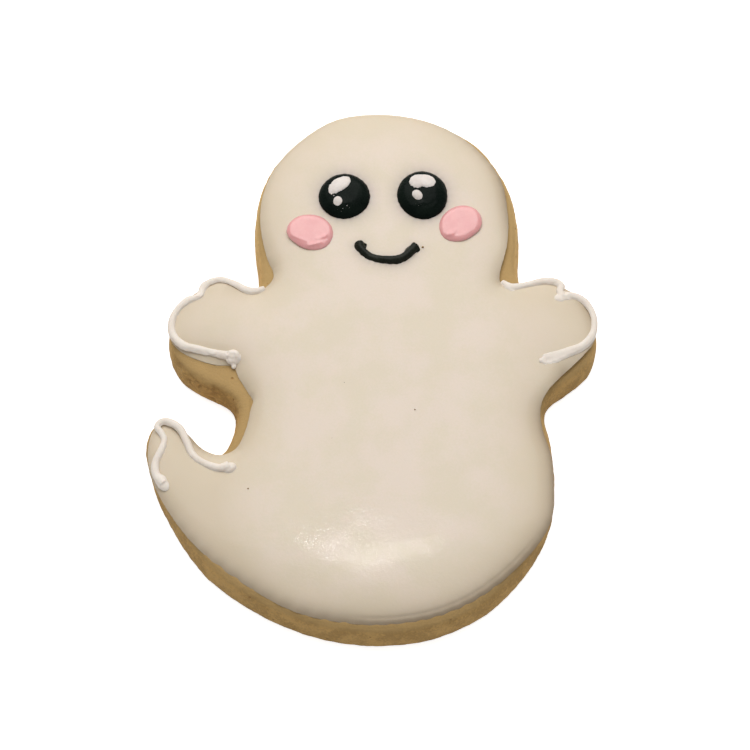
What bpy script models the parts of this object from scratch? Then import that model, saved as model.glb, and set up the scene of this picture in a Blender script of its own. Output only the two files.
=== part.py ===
"""An iced sugar cookie cut out as a ghost, lying flat with its iced side up.

Metres, +Z up. The origin is under the middle of the cookie, on the surface that it lies on. The ghost's head
points along +Y and its wavy tail sweeps off to -X. Left and right are as seen from above, feet towards the viewer.
"""
import math

import bmesh
import bpy
import numpy as np

MM = 0.001

# Levels and thicknesses
COOKIE_THICKNESS = 6.2 * MM
ICING_THICKNESS = 1.7 * MM
GAP = 0.3 * MM
ICING_UNDERSIDE = COOKIE_THICKNESS + GAP
ICING_TOP = ICING_UNDERSIDE + ICING_THICKNESS
DECORATION_UNDERSIDE = ICING_TOP + GAP
EYE_HEIGHT = 2.0 * MM
CHEEK_HEIGHT = 0.9 * MM
GLINT_HEIGHT = 0.4 * MM

# How finely a curve through the knots is followed
OUTLINE_STEPS = 3
BEAD_STEPS = 3
BEAD_SIDES_RESOLUTION = 2

# The cookie's widest outline in millimetres, counter-clockwise from the top of the head
COOKIE_KNOTS = [
    # head, down its left side
    (-0.2, 49.6), (-9.3, 47.4), (-16.4, 41.2), (-20.1, 34.0), (-21.1, 25.0), (-20.1, 16.9),
    # crook of the left arm, round the arm and back under it
    (-20.5, 14.2), (-22.0, 13.7), (-26.2, 15.6), (-31.2, 13.7), (-34.6, 9.8), (-35.5, 5.6), (-34.9, 1.4),
    (-33.0, -2.1), (-29.6, -4.7), (-25.9, -6.5), (-24.1, -8.0),
    # hollow between arm and tail
    (-23.4, -10.2), (-24.0, -13.6), (-25.9, -16.7), (-28.4, -15.9), (-30.9, -13.2),
    # tail's tip
    (-33.2, -11.1), (-35.6, -10.6), (-37.1, -11.4), (-38.5, -14.6),
    # tail's outer side and the hem
    (-37.7, -19.6), (-34.2, -28.4), (-27.3, -38.1), (-17.8, -44.8), (-8.0, -48.6), (1.5, -49.6), (10.5, -48.3),
    (18.8, -44.1), (24.9, -37.9), (29.0, -31.0), (30.5, -23.0), (30.1, -15.0),
    # right side, up under the right arm and round it
    (29.2, -9.8), (30.0, -7.2), (33.6, -4.3), (37.0, -1.2), (38.4, 2.6), (38.6, 6.5), (36.6, 11.2), (33.4, 14.1),
    (29.5, 15.1),
    # crook of the right arm and the head's right side
    (26.6, 14.7), (25.5, 16.4), (25.8, 24.0), (24.6, 33.2), (20.3, 41.6), (13.9, 46.7), (7.4, 49.0),
]

# The icing's foot in millimetres, counter-clockwise from the top of the head
ICING_KNOTS = [
    # head, down its left side
    (0.2, 48.1), (-6.7, 47.0), (-12.1, 43.6), (-17.2, 38.0), (-19.6, 31.6), (-19.9, 25.8), (-18.5, 18.8),
    (-17.3, 15.6), (-18.2, 13.7),
    # crook of the left arm, round the arm and back under it
    (-20.6, 12.1), (-22.4, 12.7), (-26.0, 14.7), (-30.4, 12.4), (-33.9, 9.0), (-35.1, 5.2), (-34.5, 2.7),
    (-32.3, 0.5), (-27.1, -1.6), (-23.9, -1.9),
    # hollow between arm and tail
    (-22.9, -4.0), (-20.9, -7.6), (-20.8, -10.2), (-21.7, -14.3), (-23.1, -17.1), (-25.6, -18.2), (-28.5, -17.1),
    (-31.2, -14.2),
    # tail's tip
    (-33.8, -12.3), (-35.6, -12.2), (-37.2, -13.6), (-38.0, -17.0),
    # tail's outer side and the hem
    (-37.0, -22.2), (-34.0, -28.2), (-28.5, -35.2), (-21.0, -41.1), (-12.5, -45.9), (-3.0, -47.9), (4.0, -47.9),
    (11.5, -46.3), (18.5, -42.6), (25.9, -35.7), (29.5, -29.8), (30.1, -22.6), (29.8, -18.2), (28.5, -13.6),
    # right side, up under the right arm and round it
    (28.3, -9.4), (29.8, -6.1), (35.4, -0.3), (37.9, 3.0), (38.0, 6.4), (36.0, 10.8), (33.2, 13.0), (29.6, 14.2),
    (25.4, 13.3),
    # crook of the right arm and the head's right side
    (22.5, 13.7), (21.9, 15.2), (23.4, 21.4), (23.8, 27.6), (22.6, 35.4), (18.4, 41.3), (13.1, 45.2), (7.1, 47.4),
]

# Rings of the cookie's baked edge: how far in from the widest outline, and how high, in millimetres
COOKIE_BELOW = [(0.15, 0.45), (0.5, 0.1), (0.9, 0.0)]
COOKIE_ABOVE = [(0.2, 3.4), (0.5, 4.9), (0.95, 5.75), (1.5, 6.1), (2.1, 6.2)]
COOKIE_BAND = (0.9, 2.0)

# Rings of the icing's pillowy edge: how far in from its foot, and which part of its thickness
ICING_RINGS = [(0.0, 0.22), (0.15, 0.48), (0.45, 0.72), (0.95, 0.91), (1.6, 1.0)]

# Middle lines of the piped beads in millimetres, each point with the bead's radius there
LEFT_ARM_BEAD = [
    (-18.7, 12.2, 0.45), (-20.3, 11.6, 0.62), (-21.9, 11.9, 0.66), (-23.9, 13.3, 0.62), (-26.2, 14.1, 0.62),
    (-28.3, 13.5, 0.62), (-29.7, 12.3, 0.66), (-30.4, 10.7, 0.72), (-31.9, 9.6, 0.68), (-33.6, 7.9, 0.55),
    (-34.4, 5.8, 0.6), (-34.1, 3.2, 0.66), (-32.4, 1.3, 0.68), (-29.6, 0.4, 0.6), (-26.4, -0.4, 0.62),
    (-24.6, -0.8, 0.8), (-23.6, -0.9, 1.0), (-22.9, -0.9, 0.7),
]
RIGHT_ARM_BEAD = [
    (22.2, 13.4, 0.45), (23.6, 12.3, 0.66), (26.3, 12.8, 0.58), (29.6, 13.6, 0.6), (31.5, 13.4, 0.64),
    (32.4, 12.5, 0.6), (32.0, 11.5, 0.6), (32.6, 10.8, 0.62), (34.4, 10.6, 0.6), (36.3, 9.7, 0.56),
    (37.6, 7.6, 0.5), (37.8, 5.2, 0.55), (37.1, 2.8, 0.66), (35.3, 0.8, 0.76), (32.4, -0.2, 0.8),
    (30.0, -0.6, 0.85), (28.2, -0.9, 0.7),
]
TAIL_BEAD = [
    (-23.9, -20.7, 0.7), (-25.4, -21.4, 0.6), (-27.9, -20.6, 0.55), (-30.0, -19.0, 0.6), (-31.1, -16.5, 0.6),
    (-32.4, -14.1, 0.62), (-34.2, -13.0, 0.62), (-35.5, -13.0, 0.58), (-36.1, -13.9, 0.5), (-35.4, -15.0, 0.52),
    (-34.8, -16.4, 0.52), (-35.4, -18.5, 0.56), (-36.1, -20.3, 0.58), (-35.9, -22.6, 0.66), (-34.6, -24.3, 0.74),
]
MOUTH_BEAD = [
    (-2.5, 20.9, 0.72), (-2.0, 19.5, 0.66), (-0.4, 18.1, 0.55), (2.3, 17.5, 0.6), (4.6, 17.6, 0.6),
    (6.1, 18.7, 0.62), (7.4, 20.3, 0.7),
]

# Drops of icing: middle in millimetres, then the outline's radius east, northeast, north and so on round
EYES = {
    "eye_left": ((-5.1, 30.6), (4.4, 4.5, 4.6, 4.4, 4.35, 4.4, 4.45, 4.4)),
    "eye_right": ((8.6, 30.8), (4.4, 4.6, 4.8, 4.6, 4.4, 4.4, 4.75, 4.6)),
}
CHEEKS = {
    "cheek_left": ((-11.2, 23.3), (4.3, 3.8, 3.5, 3.8, 4.0, 3.3, 3.6, 4.3)),
    "cheek_right": ((15.3, 24.9), (3.75, 4.0, 3.7, 3.5, 3.85, 4.2, 3.5, 3.2)),
}
GLINTS = {
    "glint_left_large": ("eye_left", (-5.9, 32.1), (1.4, 2.1, 1.3, 1.3, 1.5, 2.4, 1.2, 1.1)),
    "glint_left_small": ("eye_left", (-6.1, 28.6), (0.85, 0.9, 0.95, 0.9, 0.85, 0.9, 0.95, 0.9)),
    "glint_right_large": ("eye_right", (8.6, 32.4), (2.3, 1.7, 1.3, 1.8, 2.2, 1.8, 1.0, 1.7)),
    "glint_right_small": ("eye_right", (7.7, 29.7), (0.9, 0.8, 1.0, 1.1, 0.95, 0.8, 1.0, 1.1)),
}
DROP_SEGMENTS = 24
DROP_RINGS = 12
GLINT_SEGMENTS = 16
GLINT_RINGS = 8

# Colours and finishes: base colour, roughness
FINISHES = {
    "baked cookie": ((0.44, 0.28, 0.12, 1.0), 0.85),
    "ivory icing": ((0.80, 0.71, 0.59, 1.0), 0.45),
    "white piping": ((0.84, 0.77, 0.68, 1.0), 0.4),
    "black icing": ((0.008, 0.011, 0.009, 1.0), 0.2),
    "pink icing": ((0.90, 0.47, 0.45, 1.0), 0.3),
}


def clear_scene():
    """Removes what the file already holds."""
    for thing in list(bpy.data.objects):
        bpy.data.objects.remove(thing, do_unlink=True)


def finish_named(name, owner):
    """A Principled material of its own for one piece."""
    colour, roughness = FINISHES[name]
    material = bpy.data.materials.new(f"{name} of {owner}")
    material.use_nodes = True
    shader = material.node_tree.nodes["Principled BSDF"]
    shader.inputs["Base Color"].default_value = colour
    shader.inputs["Roughness"].default_value = roughness
    shader.inputs["Metallic"].default_value = 0.0
    return material


def smooth_line(knots, steps, closed):
    """Points along a centripetal Catmull-Rom curve through knots in millimetres, in metres."""
    knots = np.array(knots) * MM
    if closed:
        ring = np.concatenate([knots[-1:], knots, knots[:2]])
    else:
        ring = np.concatenate([2 * knots[:1] - knots[1:2], knots, 2 * knots[-1:] - knots[-2:-1]])
    points = []
    for before, start, end, after in zip(ring, ring[1:], ring[2:], ring[3:]):
        t0 = 0.0
        t1 = t0 + math.sqrt(math.dist(before[:2], start[:2]))
        t2 = t1 + math.sqrt(math.dist(start[:2], end[:2]))
        t3 = t2 + math.sqrt(math.dist(end[:2], after[:2]))
        for step in range(steps):
            t = t1 + (t2 - t1) * step / steps
            a1 = (t1 - t) / (t1 - t0) * before + (t - t0) / (t1 - t0) * start
            a2 = (t2 - t) / (t2 - t1) * start + (t - t1) / (t2 - t1) * end
            a3 = (t3 - t) / (t3 - t2) * end + (t - t2) / (t3 - t2) * after
            b1 = (t2 - t) / (t2 - t0) * a1 + (t - t0) / (t2 - t0) * a2
            b2 = (t3 - t) / (t3 - t1) * a2 + (t - t1) / (t3 - t1) * a3
            points.append((t2 - t) / (t2 - t1) * b1 + (t - t1) / (t2 - t1) * b2)
    if not closed:
        points.append(knots[-1])
    return np.array(points)


def object_from(mesh_builder, name, finish, group):
    """An object in the group, with its own mesh and material."""
    mesh = bpy.data.meshes.new(name)
    mesh_builder.to_mesh(mesh)
    mesh_builder.free()
    mesh.materials.append(finish_named(finish, name))
    piece = bpy.data.objects.new(name, mesh)
    group.objects.link(piece)
    mesh.shade_smooth()
    mesh.set_sharp_from_angle(angle=math.radians(50))
    return piece


def ringed_slab(outline, underside, top, below, above):
    """A flat-bottomed slab from an outline: an upright band, then even rings inward to each flat side."""
    builder = bmesh.new()
    corners = [builder.verts.new((x, y, underside)) for x, y in outline]
    lower = builder.faces.new(corners)
    lifted = bmesh.ops.extrude_face_region(builder, geom=[lower])["geom"]
    upper = next(part for part in lifted if isinstance(part, bmesh.types.BMFace))
    for corner in upper.verts:
        corner.co.z = top
    lower.normal_flip()
    builder.normal_update()
    for face, rings in ((lower, below), (upper, above)):
        reached = 0.0
        for inward, level in rings:
            bmesh.ops.inset_region(builder, faces=[face], thickness=inward - reached, use_even_offset=True)
            for corner in face.verts:
                corner.co.z = level
            reached = inward
    bmesh.ops.recalc_face_normals(builder, faces=builder.faces)
    return builder


def make_cookie(group):
    """The baked slab, a little wider at its foot and rounded over its top rim."""
    below = [(inward * MM, level * MM) for inward, level in COOKIE_BELOW]
    above = [(inward * MM, level * MM) for inward, level in COOKIE_ABOVE]
    outline = smooth_line(COOKIE_KNOTS, OUTLINE_STEPS, closed=True)
    builder = ringed_slab(outline, COOKIE_BAND[0] * MM, COOKIE_BAND[1] * MM, below, above)
    return object_from(builder, "cookie", "baked cookie", group)


def make_icing(group, outline):
    """The flooded icing, a thin pillow over the cookie's top."""
    rings = [(inward * MM, ICING_UNDERSIDE + part * ICING_THICKNESS) for inward, part in ICING_RINGS]
    builder = ringed_slab(outline, ICING_UNDERSIDE, rings[0][1], [], rings[1:])
    return object_from(builder, "icing", "ivory icing", group)


def distance_inside(points, outline):
    """How far each point lies inside a closed outline, negative outside it."""
    starts = outline
    spans = np.roll(outline, -1, axis=0) - starts
    offsets = points[:, None, :] - starts[None, :, :]
    along = np.clip((offsets * spans).sum(-1) / (spans * spans).sum(-1), 0.0, 1.0)
    away = np.linalg.norm(offsets - along[..., None] * spans, axis=-1).min(axis=1)
    rises = (starts[:, 1] > points[:, None, 1]) != (starts[:, 1] + spans[:, 1] > points[:, None, 1])
    slope = np.where(spans[:, 1] == 0.0, 1.0, spans[:, 1])
    crossing = starts[:, 0] + spans[:, 0] * (points[:, None, 1] - starts[:, 1]) / slope
    inside = (rises & (points[:, None, 0] < crossing)).sum(axis=1) % 2 == 1
    return np.where(inside, away, -away)


def icing_level(points, outline):
    """Height of the icing's surface under each point."""
    inward = [ring[0] * MM for ring in ICING_RINGS]
    heights = [ICING_UNDERSIDE + ring[1] * ICING_THICKNESS for ring in ICING_RINGS]
    return np.interp(distance_inside(points, outline), inward, heights, left=COOKIE_THICKNESS)


def resting_level(point, reach, outline):
    """Height at which a ball of this reach, set down at the point, first touches the icing."""
    highest = COOKIE_THICKNESS
    for share in (0.0, 0.35, 0.6, 0.8, 0.95):
        angles = np.linspace(0.0, math.tau, 16, endpoint=False)
        around = point + share * reach * np.stack([np.cos(angles), np.sin(angles)], axis=-1)
        touch = icing_level(around, outline) + reach * math.sqrt(1.0 - share * share)
        highest = max(highest, float(touch.max()))
    return highest


def make_bead(name, finish, knots, group, outline):
    """A piped bead: a tube of uneven width with closed ends that lies on the icing."""
    line = smooth_line(knots, BEAD_STEPS, closed=False)
    curve = bpy.data.curves.new(name, "CURVE")
    curve.dimensions = "3D"
    curve.bevel_depth = 1.0
    curve.bevel_resolution = BEAD_SIDES_RESOLUTION
    curve.use_fill_caps = True
    curve.materials.append(finish_named(finish, name))
    spline = curve.splines.new("POLY")
    spline.points.add(len(line) - 1)
    for place, (x, y, radius) in zip(spline.points, line):
        place.co = (x, y, resting_level(np.array((x, y)), radius + GAP, outline), 1.0)
        place.radius = radius
    bead = bpy.data.objects.new(name, curve)
    group.objects.link(bead)
    return bead


def outline_radius(angle, radii):
    """Radius of a smooth round outline given at evenly spaced directions."""
    place = (angle % math.tau) / math.tau * len(radii)
    start = int(place) % len(radii)
    blend = place - int(place)
    before, here, ahead, beyond = (radii[(start + step) % len(radii)] for step in (-1, 0, 1, 2))
    rise = 0.5 * (ahead - before)
    turn = before - 2.5 * here + 2.0 * ahead - 0.5 * beyond
    bend = 0.5 * (beyond - before) + 1.5 * (here - ahead)
    return here + blend * (rise + blend * (turn + blend * bend))


def make_drop(name, finish, middle, radii, height, ground, segments, rings, group):
    """A drop of icing: a squashed half ball with a flat foot, drawn out to its own outline and set on the ground."""
    builder = bmesh.new()
    bmesh.ops.create_uvsphere(builder, u_segments=segments, v_segments=rings, radius=1.0)
    for corner in builder.verts:
        angle = math.atan2(corner.co.y, corner.co.x)
        spread = math.hypot(corner.co.x, corner.co.y) * outline_radius(angle, radii) * MM
        x = middle[0] * MM + spread * math.cos(angle)
        y = middle[1] * MM + spread * math.sin(angle)
        corner.co = (x, y, ground(x, y) + height * max(corner.co.z, 0.0))
    bmesh.ops.recalc_face_normals(builder, faces=builder.faces)
    return object_from(builder, name, finish, group)


def dome_over(eye):
    """Height of a face just clear of an eye's dome, as a function of place."""
    middle, radii = EYES[eye]

    def level(x, y):
        angle = math.atan2(y - middle[1] * MM, x - middle[0] * MM)
        part = math.hypot(x - middle[0] * MM, y - middle[1] * MM) / (outline_radius(angle, radii) * MM)
        return DECORATION_UNDERSIDE + EYE_HEIGHT * math.sqrt(max(1.0 - part * part, 0.0)) + GAP

    return level


def main():
    """Makes the cookie, its icing and the piped decoration."""
    clear_scene()
    group = bpy.data.collections.new("iced sugar cookie")
    bpy.context.scene.collection.children.link(group)
    outline = smooth_line(ICING_KNOTS, OUTLINE_STEPS, closed=True)
    make_cookie(group)
    make_icing(group, outline)
    make_bead("piping_left_arm", "white piping", LEFT_ARM_BEAD, group, outline)
    make_bead("piping_right_arm", "white piping", RIGHT_ARM_BEAD, group, outline)
    make_bead("piping_tail", "white piping", TAIL_BEAD, group, outline)
    make_bead("mouth", "black icing", MOUTH_BEAD, group, outline)
    for name, (middle, radii) in EYES.items():
        make_drop(name, "black icing", middle, radii, EYE_HEIGHT, lambda x, y: DECORATION_UNDERSIDE,
                  DROP_SEGMENTS, DROP_RINGS, group)
    for name, (middle, radii) in CHEEKS.items():
        make_drop(name, "pink icing", middle, radii, CHEEK_HEIGHT, lambda x, y: DECORATION_UNDERSIDE,
                  DROP_SEGMENTS, DROP_RINGS, group)
    for name, (eye, middle, radii) in GLINTS.items():
        make_drop(name, "white piping", middle, radii, GLINT_HEIGHT, dome_over(eye),
                  GLINT_SEGMENTS, GLINT_RINGS, group)


main()
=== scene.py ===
# %% [markdown]
# # An iced sugar cookie
# The cookie is a slab of baked dough with a flood of ivory icing on it. Piped beads outline its arms and its
# tail, and drops of icing make the face. Its solids were modelled first and are loaded here as they are, in
# metres with the baked side down. Each one is then copied, refined by hand and given its finish, so nothing
# can slide off its place.

# %% Load the solids
import math

import bmesh
import bpy
import numpy as np
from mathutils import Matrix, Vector, noise


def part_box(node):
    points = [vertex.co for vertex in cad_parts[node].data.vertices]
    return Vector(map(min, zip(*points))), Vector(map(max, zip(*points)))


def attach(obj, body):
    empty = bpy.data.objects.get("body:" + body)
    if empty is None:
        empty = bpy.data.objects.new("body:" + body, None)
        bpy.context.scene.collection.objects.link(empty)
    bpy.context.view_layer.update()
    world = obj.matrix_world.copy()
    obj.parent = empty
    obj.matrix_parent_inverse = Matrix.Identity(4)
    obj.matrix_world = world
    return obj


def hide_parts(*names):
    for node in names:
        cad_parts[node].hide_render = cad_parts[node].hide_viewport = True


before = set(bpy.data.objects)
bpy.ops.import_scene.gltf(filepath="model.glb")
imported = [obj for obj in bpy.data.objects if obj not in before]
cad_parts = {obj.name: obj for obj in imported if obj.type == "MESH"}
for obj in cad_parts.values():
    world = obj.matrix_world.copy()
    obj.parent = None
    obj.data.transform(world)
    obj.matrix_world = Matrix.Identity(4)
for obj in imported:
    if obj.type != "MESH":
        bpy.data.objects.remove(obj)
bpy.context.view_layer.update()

MM = 0.001

# %% [markdown]
# ## The camera
# The picture looks down on the cookie at a steep angle. A camera could be turned until the outline fits, but
# the round eyes and head give the angle away: they look about a tenth flatter than circles. So the camera
# stands 65 degrees up, at an arm's length, and its lens is worked out from the width of the view.

# %% Stand the camera
LOOK_AT = Vector((0.3, -2.55, 5.0)) * MM
ELEVATION = math.radians(65)
DISTANCE = 380 * MM
PICTURE_SIDE = 750
FOCAL_PIXELS = 2225

offset = Vector((0, -math.cos(ELEVATION), math.sin(ELEVATION))) * DISTANCE
bpy.ops.object.camera_add(location=LOOK_AT + offset, rotation=(math.pi / 2 - ELEVATION, 0, 0))
camera = bpy.context.object
camera.data.sensor_width = 36
camera.data.lens = camera.data.sensor_width * FOCAL_PIXELS / PICTURE_SIDE
camera.data.clip_start = 10 * MM
bpy.context.scene.camera = camera
print("camera at", np.round(np.array(camera.location) / MM).tolist(), "mm, lens", round(camera.data.lens, 1))

# %% [markdown]
# ## Table and light
# The cookie was lit by a broad soft light from beyond its head, so its upper rims are bright and its lower
# rims dark. A sun would give hard shadows, and a sky alone would give none, so one large area light does
# this. A small wide lamp hangs higher and more nearly overhead. It is mirrored low on the belly, and leaves
# the grainy shine there and the sparks on the cheeks. The picture shows plain white all round, so the white
# table is overexposed for the camera alone: its glow washes out most of the shadow there and lights nothing.

# %% Lay the table and hang the lights
TABLE_SIDE = 3.0
TABLE_TONE = 0.92
TABLE_GLOW = 0.74
SKY_TONE = 0.40


def hang_light(name, place, wide, high, power, tone):
    """Hangs an area light at a place in millimetres, facing the cookie."""
    spot = Vector(place) * MM
    turn = (-spot).to_track_quat("-Z", "Y").to_euler()
    bpy.ops.object.light_add(type="AREA", location=spot, rotation=turn)
    light = bpy.context.object
    light.name = name
    light.data.shape = "RECTANGLE"
    light.data.size = wide * MM
    light.data.size_y = high * MM
    light.data.energy = power
    light.data.color = tone


hang_light("soft_light", (-28, 330, 430), wide=640, high=640, power=2.74, tone=(1.0, 0.985, 0.97))
hang_light("small_lamp", (-2, 126, 520), wide=70, high=16, power=0.12, tone=(1.0, 0.98, 0.95))

world = bpy.data.worlds.new("room")
world.use_nodes = True
world.node_tree.nodes["Background"].inputs["Color"].default_value = (1.0, 1.0, 1.0, 1)
world.node_tree.nodes["Background"].inputs["Strength"].default_value = SKY_TONE
bpy.context.scene.world = world
bpy.context.scene.view_settings.view_transform = "Standard"

bpy.ops.mesh.primitive_plane_add(size=TABLE_SIDE)
table = bpy.context.object
table.name = "table"
table_finish = bpy.data.materials.new("pale_table")
table_finish.use_nodes = True
table_shader = table_finish.node_tree.nodes["Principled BSDF"]
table_shader.inputs["Base Color"].default_value = (TABLE_TONE, TABLE_TONE, TABLE_TONE, 1)
table_shader.inputs["Roughness"].default_value = 0.9
table_shader.inputs["Emission Color"].default_value = (1, 1, 1, 1)
ray = table_finish.node_tree.nodes.new("ShaderNodeLightPath")
glow = table_finish.node_tree.nodes.new("ShaderNodeMath")
glow.operation = "MULTIPLY"
glow.inputs[1].default_value = TABLE_GLOW
table_finish.node_tree.links.new(ray.outputs["Is Camera Ray"], glow.inputs[0])
table_finish.node_tree.links.new(glow.outputs["Value"], table_shader.inputs["Emission Strength"])
table.data.materials.append(table_finish)
print("table", TABLE_SIDE, "m wide, two lights and a dim sky")

# %% [markdown]
# ## Tools for the work by hand
# A solid from the file is a shell of loose triangles. To be shaped like dough or icing it has to be one skin
# with small even faces. So a copy is merged first, and a Remesh modifier then covers it with little squares,
# which a few lines of code can push about as fingers would.

# %% Copy a solid and work its skin
def pick(piece):
    """Makes a piece the only one selected, and the active one."""
    bpy.ops.object.select_all(action="DESELECT")
    piece.select_set(True)
    bpy.context.view_layer.objects.active = piece


def finish_with(piece, kind, **settings):
    """Puts a modifier on a piece, sets it and applies it."""
    pick(piece)
    modifier = piece.modifiers.new(kind.lower(), kind)
    for key, value in settings.items():
        setattr(modifier, key, value)
    bpy.ops.object.modifier_apply(modifier=modifier.name)


def take_copy(node, name):
    """Copies a solid's mesh into a new piece and merges its loose triangles."""
    piece = bpy.data.objects.new(name, bpy.data.objects[node].data.copy())
    piece.data.name = name
    piece.data.materials.clear()
    bpy.context.scene.collection.objects.link(piece)
    pick(piece)
    bpy.ops.object.mode_set(mode="EDIT")
    bpy.ops.mesh.select_all(action="SELECT")
    bpy.ops.mesh.remove_doubles(threshold=0.001 * MM)
    bpy.ops.object.mode_set(mode="OBJECT")
    return piece


def cover_evenly(piece, cell, rounds):
    """Covers a piece with square faces of one size in millimetres, and smooths them over."""
    finish_with(piece, "REMESH", mode="VOXEL", voxel_size=cell * MM)
    finish_with(piece, "SMOOTH", factor=0.5, iterations=rounds)
    pick(piece)
    bpy.ops.object.shade_smooth()


def spots_of(piece):
    """Gives a piece's points in millimetres."""
    spots = np.empty(3 * len(piece.data.vertices))
    piece.data.vertices.foreach_get("co", spots)
    return spots.reshape(-1, 3) / MM


def normals_of(piece):
    """Gives the direction that the skin faces at each point."""
    normals = np.empty(3 * len(piece.data.vertices))
    piece.data.vertices.foreach_get("normal", normals)
    return normals.reshape(-1, 3)


def move_to(piece, spots):
    """Puts a piece's points at new places in millimetres."""
    piece.data.vertices.foreach_set("co", (spots * MM).ravel())
    piece.data.update()


def let_down(spots, fall):
    """Lowers points by some millimetres along the line of sight, to keep their place in the picture."""
    eye = np.array(camera.location) / MM
    return spots + np.reshape(fall, (-1, 1)) * (spots - eye) / (eye[2] - spots[:, 2:])


def swell(spots, size, seed=0):
    """Gives each point a smooth random value from -1 to 1, in lumps of one size in millimetres."""
    return np.array([noise.noise(Vector(spot)) for spot in spots / size + seed])


def ramp(values, low, high):
    """Rises smoothly from 0 at low to 1 at high."""
    share = np.clip((values - low) / (high - low), 0, 1)
    return share * share * (3 - 2 * share)


def bell(values, middle, width):
    """Rises smoothly to 1 at the middle and falls again."""
    return np.exp(-((values - middle) / width) ** 2)


def near_to(spots, place, reach):
    """Tells how near each point lies to a place, seen from above: 1 there, and 0 well beyond the reach."""
    return bell(np.linalg.norm(spots[:, :2] - np.array(place), axis=1), 0, reach)


print("tools ready")

# %% [markdown]
# ## The baked dough
# The slab was rolled, cut with a cutter and baked, so its top rim is rounded, its wall bulges a little near
# the foot and the whole skin is slightly lumpy, though less so on top where the roller went. The wall keeps
# fine cracks where the cutter dragged on it, most of all under the left arm. A bump in the material alone
# would leave the outline straight as glass. So the lumps, the crumb and the cracks are pushed into the mesh,
# and only the finest grain is left to the finish.

# %% Cut out the dough
DOUGH_CELL = 0.3

dough = take_copy("cookie", "baked_dough")
cover_evenly(dough, DOUGH_CELL, 6)
print("dough:", len(dough.data.polygons), "faces")

# %% Push lumps, crumb and cracks into it
CRACKED_SIDE = np.array((-29.0, -3.5, 2.5))
CRACK_REACH = 8.0
FAR_TRIM = 0.18

spots = spots_of(dough)
skin = normals_of(dough)
wall = 1 - ramp(np.abs(skin[:, 2]), 0.35, 0.8)
off_table = ramp(spots[:, 2], 0.1, 1.0)
torn = np.exp(-(np.linalg.norm(spots - CRACKED_SIDE, axis=1) / CRACK_REACH) ** 2)
lying = spots * np.array((1, 1, 2.6))
cracks = 1 - np.minimum(np.abs(swell(lying, 2.1, 3.1)) / 0.2, 1)
cracks = cracks * wall * (0.3 + torn) * ramp(swell(spots, 3.3, 5.5), -0.35, 0.15)
push = 0.10 * swell(spots, 4.5) + 0.06 * swell(spots, 1.3, 7.7) + 0.04 * swell(spots, 0.7, 1.9)
push = push * (1 - 0.7 * ramp(skin[:, 2], 0.6, 0.95))
push = push + torn * wall * 0.16 * swell(lying, 2.6, 6.3) - 0.22 * cracks
push = push - FAR_TRIM * ramp(skin[:, 1], 0.2, 0.8)
move_to(dough, spots + skin * (push * off_table)[:, None])
print("dough pushed in and out by up to", round(float(np.abs(push).max()), 2), "mm")


# %% Keep a value at each point for the finishes
def keep_values(piece, label, values):
    """Writes one value for each point of a piece, which its finish can read by the label."""
    kept = piece.data.attributes.new(label, "FLOAT", "POINT")
    kept.data.foreach_set("value", values)
    print(piece.name, "keeps", label, np.round([values.min(), values.max()], 2).tolist())


# The finish paints shade into these cracks.
keep_values(dough, "cracks", np.clip(cracks, 0, 1))


# %% Close the flat underside with one face
def clear_underside(piece, inner):
    """Swaps the small faces between a piece's inner points, on its flat underside, for one face."""
    pick(piece)
    bpy.ops.object.mode_set(mode="EDIT")
    skin_mesh = bmesh.from_edit_mesh(piece.data)
    for face in skin_mesh.faces:
        face.select_set(all(inner[vert.index] for vert in face.verts))
    bmesh.update_edit_mesh(piece.data)
    bpy.ops.mesh.dissolve_faces(use_verts=True)
    bpy.ops.object.mode_set(mode="OBJECT")
    print(piece.name, "has", len(piece.data.polygons), "faces")


on_table = (spots_of(dough)[:, 2] < 0.03) & (normals_of(dough)[:, 2] < -0.95)
clear_underside(dough, on_table)
dough_spots = spots_of(dough)

# %% [markdown]
# ## The flood of icing
# Runny icing was flooded over the dough and set. It lies as a thin pillow: level in the middle, falling
# softly over the last few millimetres and turning steeply under at its rim. It is thinner on the tail and on
# a low shelf under the left arm, and fuller in three corners at the right where it gathered. Its rim stops a
# little short at the tail's edge, at one corner of the hollow and high on the head. Low at the right it set
# in two goes, which left a narrow ledge outside a shallow groove. A bevel would give one hard even edge. So
# every point of the skin is given a height from how far it lies inside the rim, and the rim's foot is let
# down onto the dough.

# %% Measure how far a point lies inside the rim
def rim_of(node):
    """Gives the straight edges round a solid's flat underside, each as two points seen from above."""
    shell = bmesh.new()
    shell.from_mesh(bpy.data.objects[node].data)
    bmesh.ops.remove_doubles(shell, verts=shell.verts, dist=0.001 * MM)
    edges = []
    for edge in shell.edges:
        ups = [face.normal.z for face in edge.link_faces]
        if min(ups) < -0.99 < max(ups):
            edges.append([vert.co.xy / MM for vert in edge.verts])
    shell.free()
    return np.array(edges)


def inside_by(spots, rim):
    """Measures from above how far each point lies from a rim, in millimetres, and which way the rim lies."""
    starts = rim[:, 0]
    along = rim[:, 1] - starts
    ways = []
    for first in range(0, len(spots), 4000):
        offset = spots[first:first + 4000, None, :2] - starts
        share = np.clip((offset * along).sum(-1) / (along ** 2).sum(-1), 0, 1)
        gap = share[..., None] * along - offset
        nearest = np.linalg.norm(gap, axis=-1).argmin(1)
        ways.append(gap[np.arange(len(gap)), nearest])
    ways = np.concatenate(ways)
    depth = np.linalg.norm(ways, axis=1)
    return depth, ways / np.maximum(depth, 1e-6)[:, None]


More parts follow.
